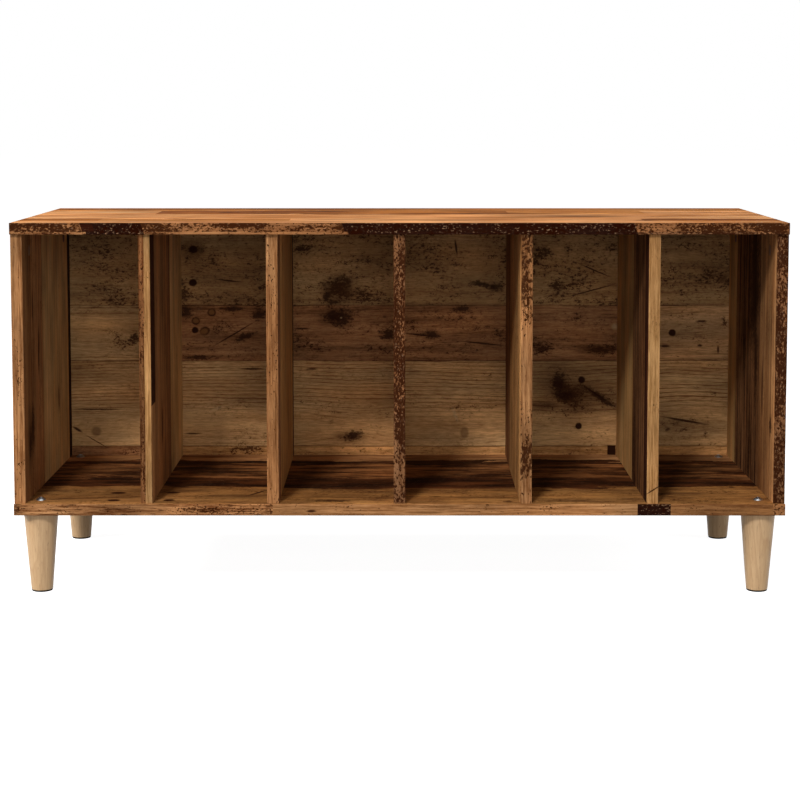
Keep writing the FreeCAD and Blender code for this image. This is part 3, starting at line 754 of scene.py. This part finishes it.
@dataclass
class BackPanel:
    """The printed fibreboard at the back, in four rows of planks."""

    sill_top: float = 133.0
    pine_top: float = 260.3
    red_top: float = 342.3
    pine_ends: tuple[float, float] = (-328.0, 328.0)

    def dress(self) -> None:
        """Prints the panel."""
        left, right = self.pine_ends
        rows = (
            Row(100.0, (Plank(-500, Wood.RED_BROWN, 0.1), Plank(-335, Wood.SILL, 0.2)), 125.0, 5.0),
            Row(self.sill_top, (Plank(-500, Wood.PINE, 0.3),), 160.0, 5.0),
            Row(self.pine_top, (Plank(-500, Wood.PINE, 0.7), Plank(left, Wood.RED_BROWN, 0.5),
                                Plank(right, Wood.GREY_PINE, 0.2)), 300.0, 7.0),
            Row(self.red_top, (Plank(-500, Wood.PITTED_OLIVE, 0.6),), 400.0, 9.0),
        )
        OldWoodPrint("back_panel", Axis.X, Axis.Z, rows, self.marks(), raw_rear=True)

    def marks(self) -> tuple[Mark, ...]:
        """The panel's marks, kind by kind, each kind from the left bays to the right."""
        return (
            *marked(Stain.KNOT, (-391, 296, 7, 11), (-142, 425, 14, 9, 20), (252, 218, 26, 22),
                    (478, 317, 3, 11), (464, 211, 6, 3), (396, 158, 5, 4), (421, 158, 6, 3),
                    (452, 150, 4, 5)),
            *marked(Stain.WORN, (-404, 282, 32, 18), (-303, 427, 18, 8), (-318, 363, 12, 20),
                    (-228, 129, 34, 6), (-78, 376, 18, 13, -12), (-84, 372, 32, 22), (-53, 356, 14, 9),
                    (215, 421, 12, 10), (229, 373, 10, 8), (246, 427, 8, 8), (290, 278, 34, 9),
                    (211, 280, 15, 9), (294, 207, 34, 9, -33), (255, 193, 60, 20)),
            *marked(Stain.CRACK, (-446, 188, 40, 1.3), (-477, 158, 9, 2.2, -30), (-449, 140, 20, 0.8, -31),
                    (-244, 300, 37, 1.2, 30.5), (-218, 248.3, 20, 1.4), (-306, 151.6, 14, 1.3),
                    (-252, 379, 20, 1.4, -6), (-144, 308, 13, 1.4), (-130, 248, 10, 1.3),
                    (83, 428, 1.8, 13, 8), (28, 299, 21, 1.5, -6), (123, 286, 33, 1.6, -6),
                    (287, 394, 26, 1.2, -23), (284, 365, 36, 1.2, 15), (209, 274, 13, 1.0, 23),
                    (290, 211, 22, 1.4, -33), (445, 319, 9, 1.8), (443, 283, 4, 2), (470, 277, 2, 6),
                    (392, 282, 9, 2.2), (422, 171, 38, 2.0, -10)),
            *marked(Stain.PLUG, (-449, 155, 8, 8), (96, 153, 7, 10)),
            *marked(Stain.HOLE, (-303, 425, 6.5, 6), (-304, 376, 6.5, 6), (-301.3, 305.8, 5.4, 5.2),
                    (-276.8, 332, 6.9, 6.4), (-300.1, 319.2, 6.6, 6.2), (-287, 304.5, 8, 6.5, 20),
                    (269, 232, 5.6, 5.6), (265, 163, 5.4, 5.4), (402, 302, 5.8, 5.8)),
            *marked(Stain.SHADE, (-303, 425, 18, 12), (-88, 367, 28, 19), (-96, 323, 30, 15),
                    (-74, 146, 24, 11), (290, 277, 30, 8), (234, 224, 46, 40), (262, 213, 62, 40),
                    (216, 194, 34, 11)),
            *marked(Stain.HEART, (-276.8, 332.5, 5.2, 4.6), (-300.1, 319.8, 5.2, 4.4),
                    (-288, 304, 6.8, 5.2, 20)),
            *marked(Stain.SMUDGE, (-248, 337, 20, 4.5), (-206, 329, 12, 10), (-314, 333, 9, 10),
                    (-228, 296, 19, 6, 20), (-294, 265, 27, 3.5), (-107, 355, 6, 9, -20), (-100, 347, 9, 4),
                    (-97, 327, 16, 11), (-84, 323, 14, 15), (-17, 299, 13, 10), (-68, 149, 15, 7, 10),
                    (141, 369, 13, 7), (120, 374, 20, 4, -10), (91, 337, 15, 6), (47, 299, 12, 8),
                    (236, 227, 11, 20), (242, 208, 15, 8), (296, 206, 26, 5, -33)),
            *marked(Stain.PALE, (-272, 188, 12, 2.5, 25), (-86, 324, 1.8, 1.5), (82, 180, 3, 13, 20),
                    (317, 311, 5, 5)),
            *marked(Stain.NOTCH, (314, 126, 6.5, 8.5)),
        )


@dataclass
class Carcass:
    """The printed boards: top, bottom, sides and dividers."""

    front: float = -190.0
    splice: float = 246.0
    upright_pith: float = 40.0
    upright_ring_gap: float = 8.0
    seed_step: float = 0.17

    def dress(self) -> None:
        """Prints every board."""
        self.dress_top()
        self.dress_bottom()
        self.dress_uprights()

    def dress_top(self) -> None:
        """Prints the top: smooth orange planks with a few dark ends."""
        rows = (
            Row(self.front, (Plank(-500, Wood.ORANGE, 0.25),), -160.0, 9.0),
            Row(self.front + 46,
                (Plank(-500, Wood.ORANGE_DARK, 0.45), Plank(-397, Wood.ORANGE_MID, 0.4),
                 Plank(-145, Wood.ORANGE, 0.3), Plank(319, Wood.ORANGE_DARK, 0.5)), -60.0, 9.0),
            Row(self.front + 95, (Plank(-500, Wood.ORANGE, 0.65),), -60.0, 9.0),
            Row(self.front + 215,
                (Plank(-500, Wood.ORANGE, 0.15), Plank(-340, Wood.ORANGE_DARK, 0.2),
                 Plank(150, Wood.ORANGE_MID, 0.75), Plank(341, Wood.ORANGE, 0.8)), 60.0, 9.0),
            Row(self.front + 300, (Plank(-500, Wood.ORANGE_MID, 0.85),), 150.0, 9.0),
            Row(self.front + 338, (Plank(-500, Wood.ORANGE_DARK, 0.9),), 150.0, 9.0),
        )
        marks = (
            *marked(Stain.SHADE, (240, -29, 70, 22), (90, 45, 120, 10), (-104, 100, 60, 16),
                    (-374, 134, 30, 14), (-300, -150, 120, 9)),
            *marked(Stain.CRACK, (322, -128, 17, 9), (100, 45, 26, 9), (-104, 100, 30, 10),
                    (-245, 60, 12, 8)),
            *marked(Stain.PALE, (-400, 75, 60, 14)),
        )
        OldWoodPrint("top_panel", Axis.X, Axis.Y, rows, marks, seed=0.3, ragged=30.0, joint=0.0,
                     streak_length=240.0, streak_width=56.0, smear_length=110.0, smear_width=36.0,
                     fibre_length=36.0, fibre_width=2.4, gloss=0.01)

    def dress_bottom(self) -> None:
        """Prints the bottom: a tan plank in front, a black-streaked one and a brown one."""
        rows = (
            Row(self.front, (Plank(-500, Wood.FLOOR_TAN, 0.55), Plank(-164, Wood.FLOOR_GOLD, 0.55)),
                -150.0, 7.0),
            Row(self.front + 114, (Plank(-500, Wood.FLOOR_BLACK, 0.35),), -60.0, 9.0),
            Row(self.front + 182, (Plank(-500, Wood.FLOOR_STREAKED, 0.42),), 0.0, 9.0),
            Row(self.front + 290, (Plank(-500, Wood.FLOOR_BLACK, 0.6),), 110.0, 9.0),
            Row(self.front + 318, (Plank(-500, Wood.BROWN, 0.75),), 140.0, 8.0),
        )
        marks = (
            *marked(Stain.HOLE, (-375, -114, 11, 7), (-374, -164, 9, 8), (-302, -113, 10, 6),
                    (-302, -163, 8, 7)),
            *marked(Stain.SMUDGE, (-90, -168, 30, 9)),
            *marked(Stain.CRACK, (-189, -113, 26, 3, 60), (198, -97, 10, 4, -30)),
            *marked(Stain.KNOT, (46, -140, 8, 5), (140, -170, 9, 5)),
        )
        OldWoodPrint("bottom_panel", Axis.X, Axis.Y, rows, marks, ragged=50.0, joint=0.0,
                     streak_length=130.0, streak_width=22.0, smear_length=40.0, smear_width=12.0,
                     fibre_length=34.0, fibre_width=8.0)

    def dress_uprights(self) -> None:
        """Prints the sides and dividers, each in its own upright planks, with some painted shade."""
        planks = {
            # Left side: the near-black rear plank is painted shade in the corner against the back panel; the
            # brown front plank is print, darkened as painted shade.
            "left_side_panel": ((0, Wood.EDGE_BROWN), (60, Wood.BROWN), (142, Wood.PALE_OLIVE),
                                (347, Wood.NEAR_BLACK)),
            "divider_1": ((0, Wood.NEAR_BLACK, Wood.BROWN), (48, Wood.BROWN), (190, Wood.RED_STREAKED),
                          (220, Wood.PALE_OLIVE)),
            # Divider 2: the near-black rear plank is painted shade in the corner against the back panel.
            "divider_2": ((0, Wood.RED_STREAKED), (55, Wood.OLIVE), (345, Wood.NEAR_BLACK)),
            "divider_3": ((0, Wood.BROWN), (180, Wood.OLIVE)),
            "divider_4": ((0, Wood.SILL), (257, Wood.RED_STREAKED)),
            "divider_5": ((0, Wood.NEAR_BLACK), (40, Wood.BLACK_STREAKED), (170, Wood.OLIVE)),
            "right_side_panel": ((0, Wood.BROWN), (119, Wood.BLACK_STREAKED), (300, Wood.OLIVE)),
        }
        marks = {
            "left_side_panel": (
                *marked(Stain.CRACK, (372, -119, 24, 4), (309, -80, 42, 5), (221, 72, 22, 5)),
                *marked(Stain.SMUDGE, (213, -126, 28, 11), (192, -146, 20, 9)),
                *marked(Stain.SHADE, (204, -140, 36, 28)),
            ),
            "divider_1": marked(Stain.CRACK, (205, -70, 34, 7), (300, -20, 60, 4)),
            "right_side_panel": (
                # The large first smudge darkens the upper right side as painted shade under the top board;
                # the smaller smudges are print.
                *marked(Stain.SMUDGE, (402, -30, 120, 40), (292, -46, 66, 13), (218, -158, 15, 9)),
                *marked(Stain.CRACK, (260, -95, 40, 4)),
            ),
        }
        for number, (node, rows) in enumerate(planks.items()):
            made = []
            for place, (start, wood, *below) in enumerate(rows):
                seed = self.seed_step * (place + 1)
                lengths = tuple(Plank(0, low, seed) for low in below)
                lengths += (Plank(self.splice if below else 0, wood, seed),)
                edge = self.front + start
                made.append(Row(edge, lengths, edge + self.upright_pith, self.upright_ring_gap))
            OldWoodPrint(node, Axis.Z, Axis.Y, tuple(made), marks.get(node, ()), seed=number + 1.0)


@dataclass
class EdgeBands:
    """The printed strips on the boards' edges, whose print is finer and more worn."""

    deep: str = "#240800"
    speck: float = 2.1
    smear_length: float = 22.0
    smear_width: float = 3.5
    streak_length: float = 70.0
    streak_width: float = 2.6
    gloss: float = 0.01

    def band(self, node: str, grain: Axis, across: Axis, rows: tuple[Row, ...],
             marks: tuple[Mark, ...] = (), seed: float = 0.0, blotch: float = 0.0,
             slant: float = 0.0) -> None:
        """Prints one board's strips.

        Args:
            node: the strips' CAD node.
            grain: the way they run.
            across: the way their width runs.
            rows: their planks.
            marks: their marks.
            seed: sets their grain apart from the others'.
            blotch: the width of its blotches, if it has any.
            slant: how far the cuts between planks lean.
        """
        OldWoodPrint(node, grain, across, rows, marks, self.deep, self.speck, blotch, self.streak_length,
                     self.streak_width, self.smear_length, self.smear_width, slant=slant, seed=seed,
                     joint=0.0, gloss=self.gloss)

    def dress(self) -> None:
        """Prints every strip."""
        low = (Plank(-500, Wood.EDGE_ORANGE, 0.25), Plank(-408, Wood.BLACK_FLECKED, 0.35),
               Plank(-335, Wood.EDGE_ORANGE, 0.4), Plank(-72, Wood.BLACK_FLECKED, 0.5),
               Plank(297, Wood.DARK_MOTTLED, 0.6))
        high = (Plank(-500, Wood.MOTTLED, 0.25), Plank(-414, Wood.NEAR_BLACK, 0.3),
                Plank(-396, Wood.BLACK_FLECKED, 0.35), Plank(-335, Wood.MOTTLED, 0.4),
                Plank(-76, Wood.BLACK_FLECKED, 0.5), Plank(297, Wood.MOTTLED, 0.6))
        corner = marked(Stain.KNOT, (-497, 481, 12, 6), (-470, 482, 30, 3), (-205, 482, 40, 3.5),
                        (478, 479, 18, 6))
        self.band("top_edge_bands", Axis.X, Axis.Z, (Row(400.0, low), Row(473.6, high)), corner,
                  slant=0.35, blotch=2.4)
        bottom = (Plank(-500, Wood.EDGE_SMEARED, 0.4), Plank(-165, Wood.EDGE_PALE, 0.45),
                  Plank(307, Wood.BLACK_FLECKED, 0.3), Plank(350, Wood.EDGE_BROWN, 0.35),
                  Plank(482, Wood.EDGE_ORANGE, 0.7))
        worn = (*marked(Stain.CRACK, (-114.5, 111, 7, 2)),
                *marked(Stain.WORN, (-250, 112, 60, 7), (-497, 112, 14, 9)))
        self.band("bottom_edge_bands", Axis.X, Axis.Z, (Row(100.0, bottom),), worn, seed=1.0, blotch=2.2)
        plain = {"left_side": Wood.EDGE_TAN, "divider_2": Wood.EDGE_TAN, "divider_3": Wood.DARK_MOTTLED,
                 "right_side": Wood.DARK_MOTTLED}
        for number, (board, wood) in enumerate(plain.items()):
            self.band(board + "_edge_bands", Axis.Z, Axis.X, (Row(-500.0, (Plank(0, wood, 0.3),)),),
                      seed=number + 2.0, blotch=2.8)
        first = (Row(-336.0, (Plank(0, Wood.EDGE_RED, 0.3),)),
                 Row(-329.0, (Plank(0, Wood.EDGE_SMOOTH, 0.6),)))
        self.band("divider_1_edge_bands", Axis.Z, Axis.X, first, seed=7.0, blotch=2.2)
        spots = marked(Stain.WORN, (420, 164, 60, 14), (190, 164, 74, 16))
        fourth = (Row(100.0, (Plank(0, Wood.EDGE_TAN, 0.2),)),)
        self.band("divider_4_edge_bands", Axis.Z, Axis.X, fourth, spots, seed=8.0, blotch=3.4)
        crack = marked(Stain.CRACK, (138, 329.5, 12, 1.1, 58))
        fifth = (Row(100.0, (Plank(0, Wood.EDGE_SMOOTH, 0.5),)),)
        self.band("divider_5_edge_bands", Axis.Z, Axis.X, fifth, crack, seed=9.0)


@dataclass
class Legs:
    """The four turned legs and their pads."""

    corners: tuple[str, ...] = ("front_left", "front_right", "rear_left", "rear_right")

    def dress(self) -> None:
        """Finishes the legs in lacquered wood and the pads in rubber."""
        TurnedRubberwood().dress(*(corner + "_leg" for corner in self.corners))

        # Moulded rubber: a dead black with hardly a shine
        rubber = SmallPartFinish("rubber moulded matt", "#0E0D0C", "#070606", 0.8, (0.7, 0.85), gloss=0.05)
        rubber.dress(*(corner + "_foot_pad" for corner in self.corners))


@dataclass
class Fittings:
    """Bolts, screws, cams, pins, caps and dowels."""

    def dress(self) -> None:
        """Finishes the fittings in their metals, plastic and wood."""
        # Zinc plating: a bright cool grey whose glints are slightly blurred
        steel = SmallPartFinish("steel zinc plated bright", "#C2C5C8", "#9DA1A6", 1.2, (0.28, 0.4), 1.0)
        steel.dress("leg_bolts", "leg_inserts", "carcass_screws", "cam_bolts", "back_panel_pins")

        # Cast zinc: a duller grey with a grainy skin
        zinc = SmallPartFinish("zinc alloy die cast", "#A8A9AB", "#86888B", 0.9, (0.4, 0.55), 1.0)
        zinc.dress("cam_locks")

        # Moulded plastic: an even brown with a soft shine
        plastic = SmallPartFinish("polystyrene moulded brown", "#6A4429", "#5A3821", 1.0, (0.45, 0.55))
        plastic.dress("cam_cover_caps")

        # Rolled beech: a matt pale wood, drawn out along the dowel
        beech = SmallPartFinish("beech dowel rolled", "#D0AC7E", "#B78E60", 0.8, (0.55, 0.7), drawn=14.0)
        beech.dress("top_dowels", "bottom_dowels")


@dataclass(frozen=True)
class Lamp:
    """A square softbox: its name, its place, the length of its side and its power in watts."""

    name: str
    place: tuple[float, float, float]
    side: float
    power: float


@dataclass
class Studio:
    """A plain pale floor, soft light and the camera. Places are in metres."""

    floor_half: float = 30.0
    floor_glow: float = 0.94
    floor_seen: str = "#C8C8C8"
    floor_lighting: str = "#7C7C7C"
    lamps: tuple[Lamp, ...] = (
        Lamp("key", (-1.80, -5.98, 5.51), 1.3, 455.0),
        Lamp("front_fill", (0.15, -3.6, 0.55), 2.2, 49.0),
        Lamp("left_fill", (-2.6, -0.6, 1.4), 0.7, 56.0),
        Lamp("right_fill", (2.6, -0.6, 1.4), 0.7, 10.0),
        Lamp("overhead", (0.0, -0.1, 3.0), 1.6, 20.0),
    )
    aim: tuple[float, float, float] = (0.0, -0.19, 0.3)
    ambient: float = 0.1
    camera_place: tuple[float, float, float] = (0.00065, -2.70287, 0.62903)
    camera_drop: float = 4.943
    lens: float = 88.464
    camera_shift: float = -0.15

    def build(self) -> None:
        """Makes the floor, the lamps, the world and the camera."""
        self.build_floor()
        for lamp in self.lamps:
            self.build_lamp(lamp)
        self.build_world()
        self.build_camera()
        bpy.context.scene.view_settings.view_transform = "Standard"

    def seen(self, nodes: Nodes) -> Socket:
        """Whether a ray comes from the camera, straight or by a mirror or glass.

        Args:
            nodes: the tree that asks.

        Returns:
            1 where it does, 0 where it lights the object.
        """
        camera = nodes.add(LIGHT_PATH, {}, "Is Camera Ray")
        mirror = nodes.add(LIGHT_PATH, {}, "Is Glossy Ray")
        through = nodes.add(LIGHT_PATH, {}, "Is Transmission Ray")
        either = nodes.add(MATH, {0: camera, 1: mirror}, operation="MAXIMUM")
        return nodes.add(MATH, {0: either, 1: through}, operation="MAXIMUM")

    def build_floor(self) -> None:
        """A white paper floor far wider than the view, with a faint shadow and little light thrown back."""
        half = self.floor_half
        corners = [(-half, -half, 0.0), (half, -half, 0.0), (half, half, 0.0), (-half, half, 0.0)]
        mesh = bpy.data.meshes.new("studio_floor")
        mesh.from_pydata(corners, [], [(0, 1, 2, 3)])
        floor = bpy.data.objects.new("studio_floor", mesh)
        bpy.context.scene.collection.objects.link(floor)
        paper = Finish("paper matt white")
        glow = paper.add(EMISSION, {"Color": linear("#FFFFFF"), "Strength": self.floor_glow})
        shaded = paper.add(DIFFUSE, {"Color": linear(self.floor_seen)})
        bright = paper.add(ADD_SHADER, {0: glow, 1: shaded})
        matt = paper.add(DIFFUSE, {"Color": linear(self.floor_lighting)})
        paper.add(OUTPUT, {"Surface": paper.add(MIX_SHADER, {0: self.seen(paper), 1: matt, 2: bright})})
        mesh.materials.append(paper.material)

    def build_lamp(self, lamp: Lamp) -> None:
        """Hangs one softbox, aimed at the cabinet.

        Args:
            lamp: the softbox.
        """
        data = bpy.data.lights.new(lamp.name, "AREA")
        data.size = lamp.side
        data.energy = lamp.power
        hung = bpy.data.objects.new(lamp.name, data)
        hung.location = lamp.place
        hung.rotation_euler = (Vector(self.aim) - Vector(lamp.place)).to_track_quat("-Z", "Y").to_euler()
        bpy.context.scene.collection.objects.link(hung)

    def build_world(self) -> None:
        """White where it is seen, and a dimmer white as the light all round."""
        world = bpy.data.worlds.new("studio")
        bpy.context.scene.world = world
        world.use_nodes = True
        nodes = Nodes(world.node_tree)
        strength = nodes.add(RANGE, {0: self.seen(nodes), 3: self.ambient, 4: 1.0})
        white = nodes.add(BACKGROUND, {"Color": linear("#FFFFFF"), "Strength": strength})
        nodes.add(WORLD_OUTPUT, {"Surface": white})

    def build_camera(self) -> None:
        """A long lens a little above the top, tipped slightly down, with a small shift for the framing."""
        data = bpy.data.cameras.new("camera")
        data.lens = self.lens
        data.shift_y = self.camera_shift
        camera = bpy.data.objects.new("camera", data)
        camera.location = self.camera_place
        camera.rotation_euler = (math.radians(90.0 - self.camera_drop), 0.0, 0.0)
        bpy.context.scene.collection.objects.link(camera)
        bpy.context.scene.camera = camera


def main() -> None:
    """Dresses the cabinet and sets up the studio."""
    BackPanel().dress()
    Carcass().dress()
    EdgeBands().dress()
    Legs().dress()
    Fittings().dress()
    Studio().build()


if __name__ == "__main__":
    logging.basicConfig(level=logging.INFO, format="%(message)s")
    main()
